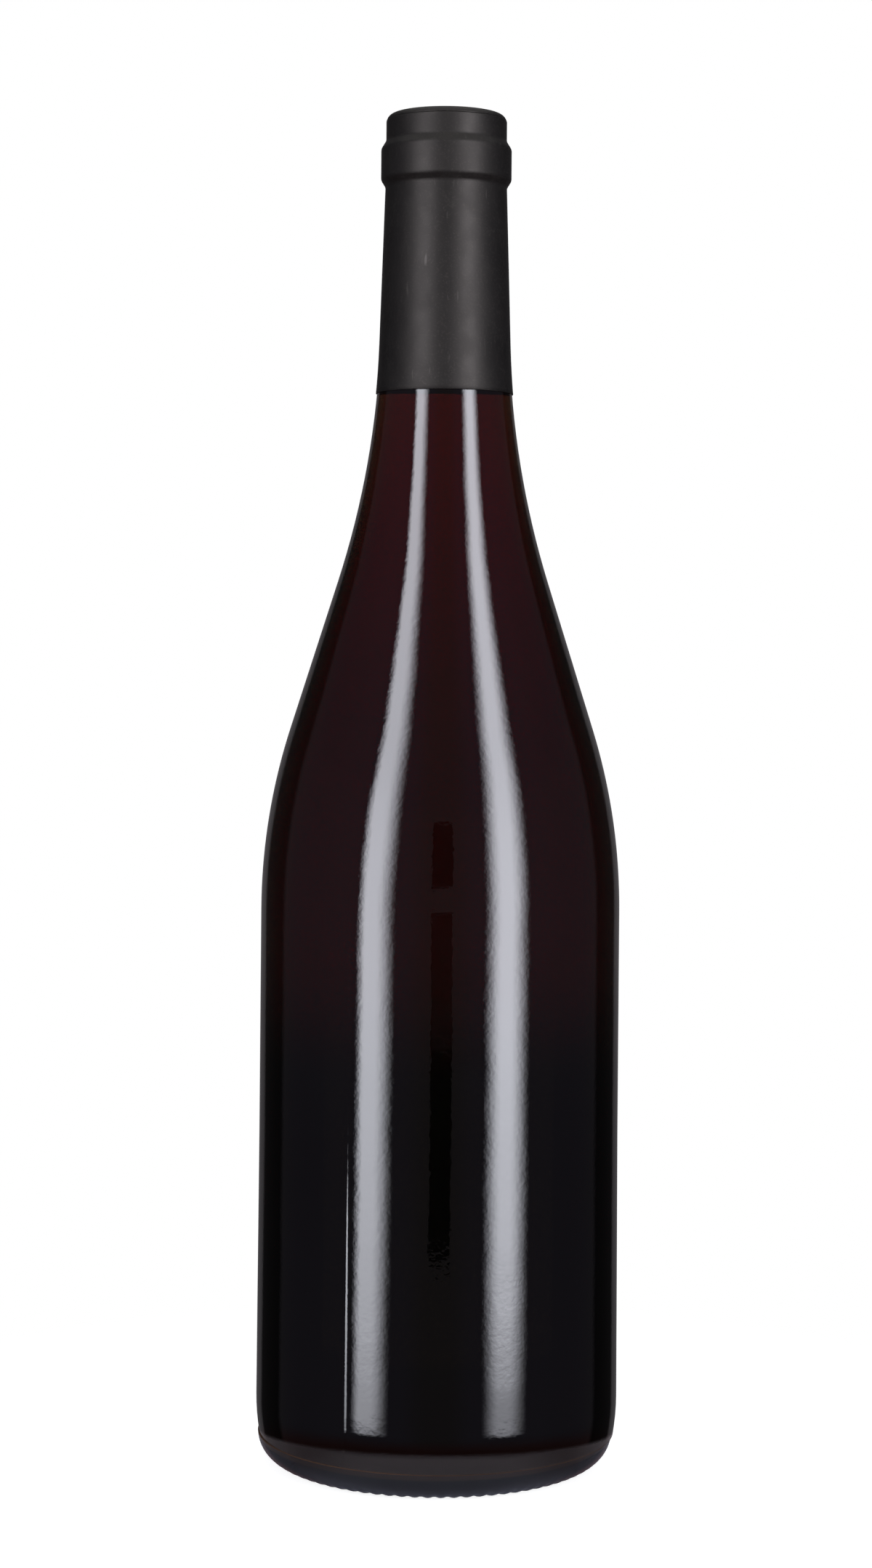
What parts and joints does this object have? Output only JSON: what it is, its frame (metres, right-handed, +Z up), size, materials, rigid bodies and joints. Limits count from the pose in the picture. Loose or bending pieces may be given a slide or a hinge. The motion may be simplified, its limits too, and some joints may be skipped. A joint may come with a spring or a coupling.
{
  "type": "wine bottle",
  "caption": "Dark glass wine bottle with sloping shoulders, full of red wine; a black capsule covers the mouth and neck, and the base has a push-up and a bearing ring.",
  "frame": {"origin": "centre of the base, on the surface that the bottle stands on", "axes": "+Z up along the bottle's axis, from the base to the capsule's top; the bottle is round, and -Y is its front"},
  "size_m": [0.0804, 0.0804, 0.3],
  "materials": {
    "bottle_glass": "smooth, glossy",
    "red_wine": "clear dark red liquid",
    "capsule_film": "satin black, fine grain"
  },
  "bodies": {
    "root": {"glass": "bottle_glass", "wine": "red_wine", "capsule_skirt": "capsule_film", "capsule_disc": "capsule_film"}
  },
  "joints": []
}
